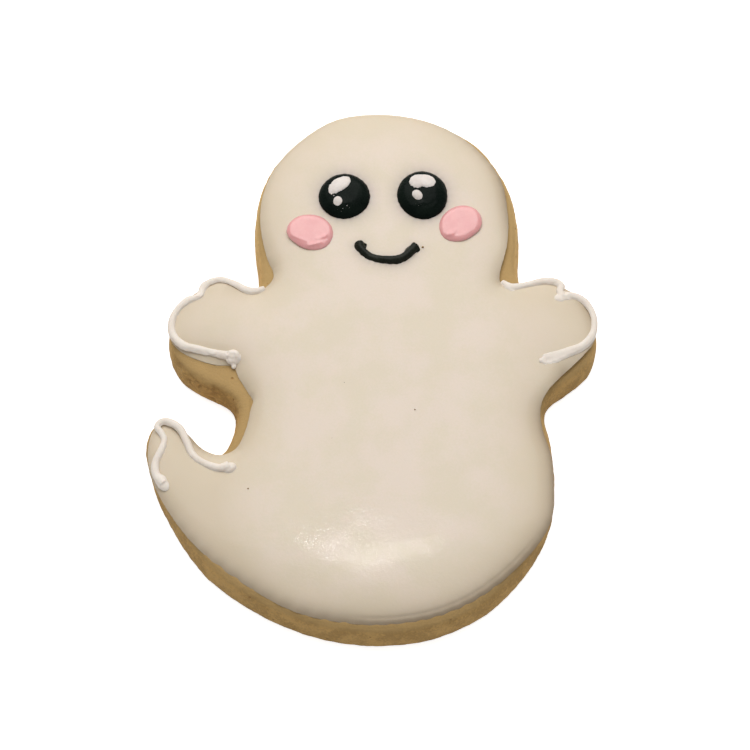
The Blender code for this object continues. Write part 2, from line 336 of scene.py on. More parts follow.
def nearness(spots, rim, reach):
    """Tells how much of a rim each point feels: 1 at a straight rim, and less over a reach in millimetres."""
    middles = rim.mean(1)
    lengths = np.linalg.norm(rim[:, 1] - rim[:, 0], axis=1)
    felt = np.empty(len(spots))
    for first in range(0, len(spots), 4000):
        far = np.linalg.norm(spots[first:first + 4000, None, :2] - middles, axis=-1)
        felt[first:first + 4000] = np.exp(-far / reach) @ lengths / (2 * reach)
    return felt


icing_rim = rim_of("icing")
rim_length = np.linalg.norm(icing_rim[:, 1] - icing_rim[:, 0], axis=1).sum()
print("icing rim:", len(icing_rim), "edges,", round(float(rim_length)), "mm round")
# This distance places the painted shadow along the icing's foot.
keep_values(dough, "from_icing", inside_by(dough_spots, icing_rim)[0])

# %% Flood the icing
ICING_CELL = 0.27
RIM_REACH = 3.2
SOLID_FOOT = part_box("icing")[0].z / MM
SOLID_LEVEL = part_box("icing")[1].z / MM

icing = take_copy("icing", "flood_icing")
cover_evenly(icing, ICING_CELL, 5)
spots = spots_of(icing)
depth, way = inside_by(spots, icing_rim)
felt = nearness(spots, icing_rim, RIM_REACH)
print("icing:", len(spots), "points, at most", round(float(depth.max()), 1), "mm inside the rim")


# %% Give it its pillow, ledge and ripples
ICING_LEVEL = 8.35
RIM_SAG = 1.15
TAIL_FALL = 0.3
SHELF = (-28.5, -2.5)
SHELF_REACH = 6.5
SHELF_FALL = 0.5
FULL_CORNERS = {(21.5, 19.5): 7.0, (28.5, -5.0): 5.5, (36.0, -1.5): 6.5}
RIM_CORNER = (-20.64, -8.33)
BARE_TAIL = (-39.0, -15.0)
BELLY_MIDDLE = (0, -15)
LEDGE_WIDTH = 0.95

shelf = near_to(spots, SHELF, SHELF_REACH)
full = np.max([near_to(spots, place, reach) for place, reach in FULL_CORNERS.items()], axis=0)
tail = ramp(-spots[:, 0], 14, 34) * ramp(-spots[:, 1], 8, 14)
belly = spots[:, :2] - np.array(BELLY_MIDDLE)
bearing = np.degrees(np.arctan2(belly[:, 1], belly[:, 0]))
facing = np.degrees(np.arctan2(way[:, 1], way[:, 0]))
lower_right = np.clip(0.5 + way @ np.array((0.3, -0.4)), 0, 1)
turned_under = 0.75 * np.exp(-depth / 1.05) + 0.45 * lower_right * np.exp(-depth / 0.5)
fallen = RIM_SAG * felt * (1 - 0.35 * full) + turned_under * (1 - 0.75 * shelf) * (1 - 0.55 * full)
fallen = fallen + TAIL_FALL * tail + SHELF_FALL * shelf * np.exp(-depth / 3)
drawn_in = (0.35 * bell(facing, 35, 28) + 0.2 * bell(facing, 145, 25)) * ramp(spots[:, 1], 15, 20)
drawn_in = drawn_in + 0.35 * near_to(spots, BARE_TAIL, 5.0) + 0.4 * near_to(spots, RIM_CORNER, 1.0)
spots[:, :2] -= way * (drawn_in * np.exp(-depth / 1.5))[:, None]
ledged = ramp(bearing, -100, -86) * (1 - ramp(bearing, -44, -30))
ledge = 0.06 * bell(depth, LEDGE_WIDTH * 0.45, 0.26) - 0.09 * bell(depth, LEDGE_WIDTH, 0.16)
height = ICING_LEVEL - fallen + ledged * ledge
height = height + 0.06 * swell(spots, 9.0, 2.2) * ramp(depth, 1, 5) + 0.012 * swell(spots, 2.6, 8.3)
on_top = ramp(spots[:, 2], SOLID_FOOT + 0.05, SOLID_FOOT + 0.4)
print("icing falls by", round(float(np.ptp(fallen)), 2), "mm from its middle to its rim")

# %% Let its foot down onto the dough
def skin_height(piece, spot, otherwise):
    """Finds a piece's skin under a point, in millimetres, by dropping a plumb line on it."""
    hit, place, _, _ = piece.ray_cast(Vector((spot[0], spot[1], 20.0)) * MM, Vector((0, 0, -1)))
    return place.z / MM if hit else otherwise


def averaged(spots, samples, values, reach=1.0):
    """Averages the values of sample points that lie within a reach of each point, seen from above."""
    result = np.empty(len(spots))
    for first in range(0, len(spots), 2000):
        offset = spots[first:first + 2000, None, :2] - samples[:, :2]
        near = np.linalg.norm(offset, axis=-1) < reach
        result[first:first + 2000] = (near * values).sum(1) / near.sum(1)
    return result


DOUGH_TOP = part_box("cookie")[1].z / MM
FOOT_DEPTH = 0.2
LOWEST_FOOT = 5.35
foot = np.full(len(spots), DOUGH_TOP)
near_rim = np.flatnonzero((on_top < 1) & (depth < 3))
for number in near_rim:
    under = let_down(spots[number:number + 1], SOLID_FOOT - DOUGH_TOP)[0]
    foot[number] = np.clip(skin_height(dough, under, LOWEST_FOOT), LOWEST_FOOT, DOUGH_TOP)
foot[near_rim] = averaged(spots[near_rim], spots[near_rim[::4]], foot[near_rim[::4]], 0.9)
foot = foot - FOOT_DEPTH
height = np.maximum(height, foot + 0.05)
fall = spots[:, 2] - height * on_top - foot * (1 - on_top)
move_to(icing, let_down(spots, fall))
print("icing foot between", round(float(foot.min()), 2), "and", round(float(foot.max()), 2), "mm up")


# %% Keep what its finish needs to know
def far_from(spots, node):
    """Measures from above how far each point lies from the nearest point of a solid, in millimetres."""
    marks = np.unique(np.round(spots_of(bpy.data.objects[node])[:, :2], 2), axis=0)
    far = np.empty(len(spots))
    for first in range(0, len(spots), 4000):
        far[first:first + 4000] = np.linalg.norm(spots[first:first + 4000, None, :2] - marks, axis=-1).min(1)
    return far


# Painted shade at the feet of the eyes and the smile, partly black dye that bled into the icing.
dye_and_contact_shade = np.exp(-np.minimum(far_from(spots, "eye_left"), far_from(spots, "eye_right")) / 1.1)
dye_and_contact_shade = np.maximum(dye_and_contact_shade, 0.7 * np.exp(-far_from(spots, "mouth") / 0.8))
keep_values(icing, "dye_and_contact_shade", dye_and_contact_shade)
# Painted shade: the rims at the lower right, upper right and upper left are darkened, partly thin icing over
# the dough.
shaded_rim_side = lower_right + 0.7 * bell(facing, 28, 32) + 0.4 * bell(facing, 140, 28)
thin_rim_and_shade = np.exp(-depth / 1.1) * shaded_rim_side * (1 - 0.85 * shelf) * (1 - 0.8 * full)
keep_values(icing, "thin_rim_and_shade", np.clip(thin_rim_and_shade, 0, 1))
# Painted shade: the icing is darkened near its rim, over the tail and towards the right arm, partly where it
# lies shallow.
thin_arm_and_shade = 0.3 * ramp(spots[:, 0], 17, 28)
keep_values(icing, "shallow_rim_and_shade", np.clip(felt * (1 - 0.5 * full) + tail + thin_arm_and_shade, 0, 1))
clear_underside(icing, (depth > 3.2) & (on_top == 0))

# %% [markdown]
# ## The piped beads
# The arms and the tail's tip are outlined with thin beads from a piping bag. A hand never draws an even bead:
# it thins where the bag moved fast, swells where it stopped and folds where it turned back, and one end at
# the right was smeared flat. A curve with a round bevel would be a wire. So the solids' beads get a fine
# skin, lumps are pressed onto their ends and folds, stretches are nudged and thickened, dents are pushed in,
# and each bead is sunk a little into the icing that it was piped on.

# %% Tools for a bead
BEAD_CELL = 0.13
BEAD_RISE = 0.04
LOWEST_REST = 6.9
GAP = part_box("eye_left")[0].z / MM - SOLID_LEVEL


def press_on(piece, place, size, turn=0):
    """Adds a lump to a piece: its middle and half lengths in millimetres, turned by degrees from above."""
    pick(piece)
    bpy.ops.object.mode_set(mode="EDIT")
    bpy.ops.mesh.select_all(action="DESELECT")
    spot = Vector(place) * MM
    bpy.ops.mesh.primitive_uv_sphere_add(segments=24, ring_count=12, radius=MM, location=spot)
    bpy.ops.transform.resize(value=size, center_override=spot)
    bpy.ops.transform.rotate(value=-math.radians(turn), orient_axis="Z", center_override=spot)
    bpy.ops.object.mode_set(mode="OBJECT")


def dent(piece, place, reach, depth):
    """Pushes the upper skin straight down round a place, softly, over a reach in millimetres."""
    spots = spots_of(piece)
    upper = ramp(normals_of(piece)[:, 2], 0.0, 0.5)
    spots[:, 2] -= depth * near_to(spots, place, reach) * upper
    move_to(piece, spots)


def lift(piece, place, reach, rise):
    """Lifts a stretch of a piece whole, softly over a reach, or lowers it if the rise is below 0."""
    spots = spots_of(piece)
    spots[:, 2] += rise * near_to(spots, place, reach)
    move_to(piece, spots)


def nudge(piece, place, shift, reach, wider=0.0):
    """Pushes a stretch of a bead sideways by some millimetres, softly over a reach, and can spread it out."""
    spots = spots_of(piece)
    share = near_to(spots, place, reach)
    spots[:, 1] += wider * share * (spots[:, 1] - place[1])
    spots[:, :2] += share[:, None] * np.array(shift)
    move_to(piece, spots)


def thicken(piece, place, reach, factor):
    """Makes a stretch of a bead thicker or thinner about its own middle line, softly over a reach."""
    spots = spots_of(piece)
    share = near_to(spots, place, reach)
    close = np.flatnonzero(share > 0.02)
    samples = spots[::9]
    heart = [averaged(spots[close], samples, samples[:, axis]) for axis in range(3)]
    spots[close] += (factor - 1) * share[close, None] * (spots[close] - np.column_stack(heart))
    move_to(piece, spots)


def settle_bead(piece, flatness, ragged=0.05, fuller=0.0):
    """Lets a bead down onto the sagging icing, flattens it, sinks it in a little and makes it uneven."""
    spots = spots_of(piece)
    skin = normals_of(piece)
    flank = ramp(-skin[:, 1], 0.1, 0.8)
    uneven = fuller + 0.07 * swell(spots, 2.4, 4.4) + (0.018 + ragged * flank) * swell(spots, 0.75, 8.8)
    samples = spots[::9]
    heart = averaged(samples, samples, samples[:, 2])
    fall = np.full(len(samples), GAP)
    for _ in range(3):
        rest = np.array([skin_height(icing, spot, LOWEST_REST) for spot in let_down(samples, fall)])
        fall = averaged(samples, samples, heart - np.maximum(rest, LOWEST_REST) - BEAD_RISE)
    above = spots[:, 2] - averaged(spots, samples, heart)
    fall = averaged(spots, samples, fall) + (1 - flatness) * above
    spots[:, :2] += skin[:, :2] * 0.14 * ramp(-above, -0.2, 0.3)[:, None]
    move_to(piece, let_down(spots + skin * uneven[:, None], fall))
    print(piece.name, "let down by", round(float(fall.min()), 2), "to", round(float(fall.max()), 2), "mm")


print("gap between the solids:", round(GAP, 2), "mm")

# %% Pipe the left arm
HALF_BEAD = 0.75
BEAD_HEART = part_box("piping_left_arm")[0].z / MM + HALF_BEAD

left_bead = take_copy("piping_left_arm", "piped_left_arm")
press_on(left_bead, (-23.55, -1.25, BEAD_HEART + 0.1), (1.3, 1.0, 0.95), 20)
press_on(left_bead, (-23.6, -2.5, BEAD_HEART - 0.4), (0.3, 0.45, 0.5))
cover_evenly(left_bead, BEAD_CELL, 3)
nudge(left_bead, (-30.2, 11.4), (0.55, -0.6), 1.5)
nudge(left_bead, (-25.5, 13.6), (0.0, -0.25), 3.5)
thicken(left_bead, (-25.5, 13.4), 4.2, 0.6)
thicken(left_bead, (-31.5, 9.8), 2.0, 1.15)
thicken(left_bead, (-29.0, -0.2), 3.5, 1.15)
dent(left_bead, (-24.65, -0.75), 0.22, 0.4)
dent(left_bead, (-24.7, -1.5), 0.22, 0.4)
settle_bead(left_bead, 0.58, 0.09)
print("left arm's bead:", len(left_bead.data.polygons), "faces")

# %% Pipe the right arm
SMEAR = (30.2, -1.25)
SMEAR_REACH = 3.4
SMEAR_CORNERS = [(28.3, -0.35), (28.45, -2.1)]
HOLLOW = (29.6, -1.1)
PINHOLES = [(30.65, -1.85), (31.2, -1.85)]

right_bead = take_copy("piping_right_arm", "piped_right_arm")
press_on(right_bead, (32.05, 10.2, BEAD_HEART), (1.05, 0.78, 0.62), 0)
press_on(right_bead, (33.2, 10.3, BEAD_HEART), (1.0, 0.6, 0.6), -5)
press_on(right_bead, (23.4, 12.3, BEAD_HEART), (1.35, 0.75, 0.6), -40)
press_on(right_bead, (22.7, 13.0, BEAD_HEART + 0.1), (0.55, 0.45, 0.5), -40)
press_on(right_bead, (28.9, -0.6, BEAD_HEART - 0.1), (1.25, 1.0, 0.55), 10)
cover_evenly(right_bead, BEAD_CELL, 3)
thicken(right_bead, (26.5, 12.9), 2.2, 0.85)
dent(right_bead, (32.95, 10.95), 0.28, 0.6)
nudge(right_bead, (29.6, -0.6), (-0.1, -0.75), 3.4, 0.4)
smeared = spots_of(right_bead)
smeared[:, 2] -= 0.5 * near_to(smeared, SMEAR, SMEAR_REACH) * (smeared[:, 2] - BEAD_HEART)
move_to(right_bead, smeared)
settle_bead(right_bead, 0.56)
lift(right_bead, SMEAR, SMEAR_REACH, -0.12)
dent(right_bead, HOLLOW, 0.6, 0.13)
for corner in SMEAR_CORNERS:
    dent(right_bead, corner, 0.5, 0.4)
for pinhole in PINHOLES:
    dent(right_bead, pinhole, 0.15, 0.3)
print("right arm's bead:", len(right_bead.data.polygons), "faces")

# %% Pipe the tail
tail_bead = take_copy("piping_tail", "piped_tail")
press_on(tail_bead, (-23.9, -21.1, BEAD_HEART - 0.05), (1.15, 0.9, 0.7), 15)
press_on(tail_bead, (-34.7, -24.2, BEAD_HEART - 0.1), (1.25, 0.85, 0.62), -50)
press_on(tail_bead, (-35.1, -23.5, BEAD_HEART - 0.05), (0.95, 0.9, 0.66), -50)
cover_evenly(tail_bead, BEAD_CELL, 6)
nudge(tail_bead, (-23.9, -20.8), (0.05, -0.3), 1.5)
thicken(tail_bead, (-25.0, -21.2), 3.0, 1.25)
settle_bead(tail_bead, 0.6)
lift(tail_bead, (-24.5, -21.2), 2.6, 0.16)
print("tail's bead:", len(tail_bead.data.polygons), "faces")

# %% [markdown]
# ## The smile
# The smile is one bead of black icing, thick at its ends, with a torn tip at the right. It is made as the
# white beads are, and lies a little flatter.

# %% Pipe the smile
smile = take_copy("mouth", "black_smile")
press_on(smile, (-2.25, 20.2, BEAD_HEART), (1.0, 0.92, 0.7), -60)
press_on(smile, (-1.45, 20.5, BEAD_HEART), (0.28, 0.25, 0.3))
press_on(smile, (6.6, 19.5, BEAD_HEART), (1.4, 0.72, 0.65), 42)
press_on(smile, (7.35, 19.85, BEAD_HEART), (0.5, 0.76, 0.6), 42)
cover_evenly(smile, BEAD_CELL, 3)
nudge(smile, (4.8, 17.9), (0.0, 0.1), 1.6)
thicken(smile, (2.0, 17.5), 3.0, 1.12)
thicken(smile, (5.2, 18.4), 2.2, 1.3)
settle_bead(smile, 0.8, 0.1, 0.08)
print("smile:", len(smile.data.polygons), "faces")

# %% [markdown]
# ## Eyes and glints
# Each eye is a thick drop of black icing that stands up as a dome. When it had set, two white dabs went on
# it: a large one with a ragged lower edge, and a small round one. The dabs follow the dome, so all of them are
# copies of solids that already do. They are let down by the gap that the solids keep, and the ragged edge is
# pushed in and out by a fine swell.

# %% Drop the eyes
EYE_SINK = 0.4
EYE_CELL = 0.16
EYE_STRETCH = {"left": (1.06, 1.02, 1), "right": (1.035, 1.035, 1)}
EYE_SLIP = {"left": 0.28, "right": 0.17}

eyes = []
for side in ("left", "right"):
    eye = take_copy("eye_" + side, "black_eye_" + side)
    cover_evenly(eye, EYE_CELL, 8)
    spots = spots_of(eye)
    top_edge = np.array((spots[:, 0].mean(), spots[:, 1].max() - 0.6, 0))
    spots = top_edge + (spots - top_edge) * np.array(EYE_STRETCH[side])
    spots[:, 1] -= EYE_SLIP[side]
    spots = let_down(spots, EYE_SINK)
    uneven = 0.05 * swell(spots, 1.9, 6.6) + 0.02 * swell(spots, 0.7, 2.3)
    move_to(eye, spots + normals_of(eye) * uneven[:, None])
    eyes.append(eye)
    print(eye.name, "is", round(float(np.ptp(spots[:, 2])), 2), "mm high")

# %% Dab on the glints
GLINT_CELL = 0.07
GLINT_SINK = 0.08
GLINTS = {
    "left_large": (0.16, 0.26, (0.1, -0.45)),
    "left_small": (0.03, 0.15, (-0.05, -0.3)),
    "right_large": (0.17, 0.22, (-0.05, -0.15)),
    "right_small": (0.03, 0.06, (0.0, -0.25)),
}

glints = []
for place, (ragged, fuller, shift) in GLINTS.items():
    glint = take_copy("glint_" + place, "white_glint_" + place)
    cover_evenly(glint, GLINT_CELL, 9)
    spots = spots_of(glint)
    torn_side = 1 - ramp((spots - spots.mean(0)) @ np.array((0.4, 1, 0)), -0.9, 0.1)
    tear = fuller + ragged * (0.15 + torn_side) * (swell(spots, 0.6, 9.1) + 0.6 * swell(spots, 0.28, 2.7))
    spots[:, :2] += (normals_of(glint) * tear[:, None])[:, :2]
    eye = eyes[0] if "left" in place else eyes[1]
    old_rest = skin_height(eye, spots.mean(0), 0)
    spots[:, :2] += np.array(shift)
    sunk = EYE_SINK + GAP + GLINT_SINK + old_rest - skin_height(eye, spots.mean(0), 0)
    move_to(glint, let_down(spots, sunk))
    glints.append(glint)
    print(glint.name, "has", len(glint.data.polygons), "faces")

# %% [markdown]
# ## Cheeks
# A cheek is a low puddle of pink icing: steep at its rim, nearly level inside, with soft folds low down where
# the spoon or tip left it. Like the flood, its height comes from the distance to its rim.

# %% Pour the cheeks
CHEEK_CELL = 0.14
CHEEK_FOOT = 8.05
CHEEK_RISE = 0.72
CHEEK_SHOULDER = 1.5
FOLDS = {
    "left": [
        ((-9.7, 21.6), (-8.3, 22.3), 0.13),
        ((-11.1, 20.4), (-9.3, 20.9), 0.13),
        ((-15.4, 22.8), (-11.6, 21.3), 0.07),
    ],
    "right": [
        ((12.6, 22.3), (13.2, 22.8), 0.11),
        ((13.5, 22.5), (14.4, 23.3), 0.11),
        ((13.9, 24.0), (14.2, 25.8), 0.02),
    ],
}

cheeks = []
for side in ("left", "right"):
    cheek = take_copy("cheek_" + side, "pink_cheek_" + side)
    solid_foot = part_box("cheek_" + side)[0].z / MM
    cover_evenly(cheek, CHEEK_CELL, 4)
    spots = spots_of(cheek)
    depth = inside_by(spots, rim_of("cheek_" + side))[0]
    share = np.clip(depth / CHEEK_SHOULDER, 0, 1)
    pillow = CHEEK_RISE * np.sqrt(1 - (1 - share) ** 2) + 0.05 * swell(spots, 2.2, 3.3)
    for start, end, rise in FOLDS[side]:
        far = inside_by(spots, np.array([(start, end)]))[0]
        pillow = pillow + rise * bell(far, 0, 0.35) * ramp(depth, 0.2, 0.8)
    top = ramp(spots[:, 2], solid_foot + 0.02, solid_foot + 0.12)
    move_to(cheek, let_down(spots, spots[:, 2] - CHEEK_FOOT - pillow * top))
    cheeks.append(cheek)
    print(cheek.name, "has", len(cheek.data.polygons), "faces")

# %% [markdown]
# ## Stray crumbs, sugar specks and painted sparks
# A few brown crumbs fell on the wet icing and stuck, and grains of white icing lie on the left eye where its
# glint's lower edge was torn. More white lumps low on both eyes are painted sparks: they stand in for the
# lamp's reflection there. Dots painted in the finish would be flat. So each one is a small knobbly lump,
# pressed a little way into the skin that it lies on. They are too small to be solids of the part, so they
# are only made here.

# %% Scatter the crumbs and specks
CRUMBS = {
    (7.0, -10.5): 0.14, (8.6, 20.4): 0.22, (-20.7, -24.7): 0.14, (-4.9, -5.5): 0.08, (-6.9, -15.7): 0.07,
}
# The first and last rows are painted sparks, low on the left and right eye; the middle row is the torn trail
# of the left glint.
SPECKS_AND_PAINTED_SPARKS = {
    (-5.3, 27.4): 0.08, (-4.6, 27.9): 0.09, (-4.2, 27.5): 0.07, (-6.2, 27.3): 0.06, (-5.6, 27.0): 0.07,
    (-7.3, 30.1): 0.15, (-6.9, 29.8): 0.12, (-7.5, 30.6): 0.13, (-6.6, 30.4): 0.13, (-6.0, 30.6): 0.12,
    (7.3, 28.1): 0.06, (7.9, 27.9): 0.06, (8.4, 28.1): 0.05,
}
SPECK_CELL = 0.05


def scatter(name, lumps, under):
    """Makes one piece out of small lumps, each at a place with a radius, resting on other pieces."""
    piece = bpy.data.objects.new(name, bpy.data.meshes.new(name))
    bpy.context.scene.collection.objects.link(piece)
    for place, radius in lumps.items():
        rest = max(skin_height(other, place, 0) for other in under)
        press_on(piece, (*place, rest + 0.35 * radius), (radius, 0.8 * radius, 0.7 * radius), 40 * place[0])
    cover_evenly(piece, SPECK_CELL, 1)
    spots = spots_of(piece)
    move_to(piece, spots + normals_of(piece) * (0.04 * swell(spots, 0.17, 4.1))[:, None])
    print(piece.name, "has", len(lumps), "lumps and", len(piece.data.polygons), "faces")
    return piece


crumbs = scatter("stray_crumbs", CRUMBS, [icing])
# Painted sparks: most of these white lumps stand in for reflections low on the eyes.
specks_and_sparks = scatter("sugar_specks", SPECKS_AND_PAINTED_SPARKS, eyes)

# %% [markdown]
# ## Finishes
# Icing and dough are never one flat colour. Three effects come back in these finishes: tones that drift from
# patch to patch, a fine grain that breaks up the shine, and pinholes where bubbles burst. Each effect is a
# node group, built once, and a finish places it with its own sizes, in millimetres on the piece itself.

# %% Tools for node trees
def add_node(tree, kind, **settings):
    """Adds a node to a tree and sets its options."""
    node = tree.nodes.new(kind)
    for key, value in settings.items():
        setattr(node, key, value)
    return node


def new_group(name, inputs, outputs):
    """Makes an empty shader node group with named sockets, and gives its two end nodes."""
    group = bpy.data.node_groups.new(name, "ShaderNodeTree")
    for label, kind, value in inputs:
        socket = group.interface.new_socket(name=label, in_out="INPUT", socket_type=kind)
        socket.default_value = value
    for label, kind in outputs:
        group.interface.new_socket(name=label, in_out="OUTPUT", socket_type=kind)
    return group, add_node(group, "NodeGroupInput"), add_node(group, "NodeGroupOutput")


def in_millimetres(tree):
    """Gives the piece's own coordinates, in millimetres."""
    place = add_node(tree, "ShaderNodeTexCoord")
    scale = add_node(tree, "ShaderNodeVectorMath", operation="SCALE")
    scale.inputs["Scale"].default_value = 1 / MM
    tree.links.new(place.outputs["Object"], scale.inputs["Vector"])
    return scale.outputs["Vector"]


def speckle(tree, where, per_mm, detail, roughness=0.5):
    """Adds a noise texture: where it reads, its lumps per millimetre, and how finely they are broken up."""
    texture = add_node(tree, "ShaderNodeTexNoise")
    texture.inputs["Detail"].default_value = detail
    texture.inputs["Roughness"].default_value = roughness
    tree.links.new(where, texture.inputs["Vector"])
    if isinstance(per_mm, float):
        texture.inputs["Scale"].default_value = per_mm
    else:
        tree.links.new(per_mm, texture.inputs["Scale"])
    return texture.outputs["Fac"]


def calculate(tree, operation, first, second):
    """Adds a maths node to a tree. Each value is a number or another node's output."""
    node = add_node(tree, "ShaderNodeMath", operation=operation)
    for socket, value in zip(node.inputs, (first, second)):
        if isinstance(value, (int, float)):
            socket.default_value = value
        else:
            tree.links.new(value, socket)
    return node.outputs["Value"]


def stretch(tree, value, low, high, to_low=0.0, to_high=1.0):
    """Adds a Map Range node that turns low to high into a new range, and keeps within it."""
    node = add_node(tree, "ShaderNodeMapRange", interpolation_type="SMOOTHSTEP")
    tree.links.new(value, node.inputs["Value"])
    for label, limit in (("From Min", low), ("From Max", high), ("To Min", to_low), ("To Max", to_high)):
        node.inputs[label].default_value = limit
    return node.outputs["Result"]


def blend_colours(tree, share, first, second, kind="MIX"):
    """Adds a Mix node for two colours. Each is a colour or another node's output."""
    node = add_node(tree, "ShaderNodeMix", data_type="RGBA", blend_type=kind)
    for socket, value in zip((node.inputs[0], node.inputs[6], node.inputs[7]), (share, first, second)):
        if isinstance(value, float):
            socket.default_value = value
        elif isinstance(value, tuple):
            socket.default_value = (*value, 1)
        else:
            tree.links.new(value, socket)
    return node.outputs[2]


print("node tools ready")

# %% [markdown]
# ### Drifting tone
# Set icing is a shade lighter where it dried fast, and dough is a shade browner where it was thin. The group
# mixes two colours by a soft noise, and breaks the patches up with small flecks.

# %% Group: drifting tone
drift, start, end = new_group(
    "drifting tone",
    [
        ("Light", "NodeSocketColor", (0.8, 0.8, 0.8, 1)),
        ("Dark", "NodeSocketColor", (0.6, 0.6, 0.6, 1)),
        ("Patches per mm", "NodeSocketFloat", 0.1),
        ("Flecks per mm", "NodeSocketFloat", 2.0),
        ("Fleck share", "NodeSocketFloat", 0.3),
    ],
    [("Color", "NodeSocketColor"), ("Mask", "NodeSocketFloat")],
)
where = in_millimetres(drift)
patches = speckle(drift, where, start.outputs["Patches per mm"], 3.0)
flecks = speckle(drift, where, start.outputs["Flecks per mm"], 2.0)
patch_mask = stretch(drift, patches, 0.34, 0.66)
fleck_mask = calculate(drift, "SUBTRACT", stretch(drift, flecks, 0.25, 0.75), 0.5)
fleck_mask = calculate(drift, "MULTIPLY", fleck_mask, start.outputs["Fleck share"])
tone_mask = add_node(drift, "ShaderNodeMath", operation="ADD", use_clamp=True)
drift.links.new(patch_mask, tone_mask.inputs[0])
drift.links.new(fleck_mask, tone_mask.inputs[1])
tone = blend_colours(drift, tone_mask.outputs["Value"], start.outputs["Dark"], start.outputs["Light"])
drift.links.new(tone, end.inputs["Color"])
drift.links.new(tone_mask.outputs["Value"], end.inputs["Mask"])
print("group:", drift.name)

# %% [markdown]
# ### Fine grain
# Sugar sets in tiny crystals, and dough bakes to a fine crumb. Both break a shine up into sparks. The group
# adds a fine noise to a slower ripple and puts out one height, which each finish turns into a normal by its
# own depth. The depth is small on the flood, because steep grains would spread its shine over the belly.

# %% Group: fine grain
grain, start, end = new_group(
    "fine grain",
    [
        ("Grains per mm", "NodeSocketFloat", 3.0),
        ("Ripples per mm", "NodeSocketFloat", 0.4),
        ("Ripple share", "NodeSocketFloat", 0.5),
    ],
    [("Height", "NodeSocketFloat"), ("Sparkle", "NodeSocketFloat")],
)
where = in_millimetres(grain)
grains = speckle(grain, where, start.outputs["Grains per mm"], 2.0, 0.6)
ripples = speckle(grain, where, start.outputs["Ripples per mm"], 1.0)
ripples = calculate(grain, "MULTIPLY", ripples, start.outputs["Ripple share"])
grain.links.new(calculate(grain, "ADD", grains, ripples), end.inputs["Height"])
grain.links.new(stretch(grain, grains, 0.35, 0.65), end.inputs["Sparkle"])
print("group:", grain.name)

# %% [markdown]
# ### Pinholes
# A few bubbles burst as dough bakes. A Voronoi texture scatters cells, and only a cell whose own random value
# is high enough gets a small round hole at its middle.

# %% Group: pinholes
pinholes, start, end = new_group(
    "pinholes",
    [
        ("Cells per mm", "NodeSocketFloat", 0.3),
        ("Radius", "NodeSocketFloat", 0.12),
        ("Empty share", "NodeSocketFloat", 0.7),
    ],
    [("Mask", "NodeSocketFloat")],
)
cells = add_node(pinholes, "ShaderNodeTexVoronoi")
pinholes.links.new(in_millimetres(pinholes), cells.inputs["Vector"])
pinholes.links.new(start.outputs["Cells per mm"], cells.inputs["Scale"])
picked = add_node(pinholes, "ShaderNodeSeparateColor")
pinholes.links.new(cells.outputs["Color"], picked.inputs["Color"])
holed = calculate(pinholes, "GREATER_THAN", picked.outputs["Red"], start.outputs["Empty share"])
near = calculate(pinholes, "DIVIDE", cells.outputs["Distance"], start.outputs["Radius"])
hole = stretch(pinholes, near, 0.4, 1.0, 1.0, 0.0)
pinholes.links.new(calculate(pinholes, "MULTIPLY", hole, holed), end.inputs["Mask"])
print("group:", pinholes.name)


# %% Start a finish and place a group in it
def start_finish(name, **sockets):
    """Makes a material and sets the Principled shader's own sockets that are the same all over."""
    finish = bpy.data.materials.new(name)
    finish.use_nodes = True
    shader = finish.node_tree.nodes["Principled BSDF"]
    for label, value in sockets.items():
        shader.inputs[label.replace("_", " ")].default_value = value
    return finish, finish.node_tree, shader


def place_group(tree, group, **values):
    """Places a shared group in a finish, with its own values."""
    node = add_node(tree, "ShaderNodeGroup", node_tree=group)
    for label, value in values.items():
        socket = node.inputs[label.replace("_", " ")]
        socket.default_value = (*value, 1) if isinstance(value, tuple) else value
    return node.outputs


def read_value(tree, label):
    """Reads a value that was kept at each point of the piece."""
    return add_node(tree, "ShaderNodeAttribute", attribute_name=label).outputs["Fac"]


def raise_skin(tree, shader, height, depth):
    """Turns a height into the shader's normal. The depth is in millimetres."""
    bump = add_node(tree, "ShaderNodeBump")
    bump.inputs["Distance"].default_value = depth * MM
    tree.links.new(height, bump.inputs["Height"])
    tree.links.new(bump.outputs["Normal"], shader.inputs["Normal"])


print("finish tools ready")

# %% [markdown]
# ### Baked dough
# Golden and dry, with a fine crumb. The wall is painted paler towards the head, as painted light where the
# lamp falls on it, and it is a little browner towards the hem. The foot, which touched the hot tray, is
# browner still, and the bare top is darker, partly toasted and partly painted shade. Ramps on the height
# above the table and on the way to the head do that, broken up by the crumb so that they show no line. A
# narrow painted shadow lies along the icing's foot, and painted shade darkens the cracks and the pinholes.

# %% Finish: baked dough
DOUGH_LIGHT = (0.60, 0.375, 0.135)
DOUGH_DARK = (0.44, 0.270, 0.094)
# Painted light: the wall's paler tone towards the head, where the lamp falls on it.
DOUGH_PAINTED_LIGHT = (0.72, 0.48, 0.195)
# Partly toasting and partly painted shade: the bare top's darker tone.
DOUGH_TOASTED_AND_SHADE = (0.455, 0.300, 0.125)
# Browned foot, and painted shade in the pinholes.
DOUGH_BROWNED_AND_PIT_SHADE = (0.36, 0.200, 0.066)
# Painted shade in the cracks; also the lighter tone of the crumbs.
DOUGH_CRACK_SHADE_AND_CRUMB = (0.33, 0.190, 0.066)
# Painted shadow along the icing's foot.
DOUGH_CONTACT_SHADE = (0.25, 0.170, 0.065)

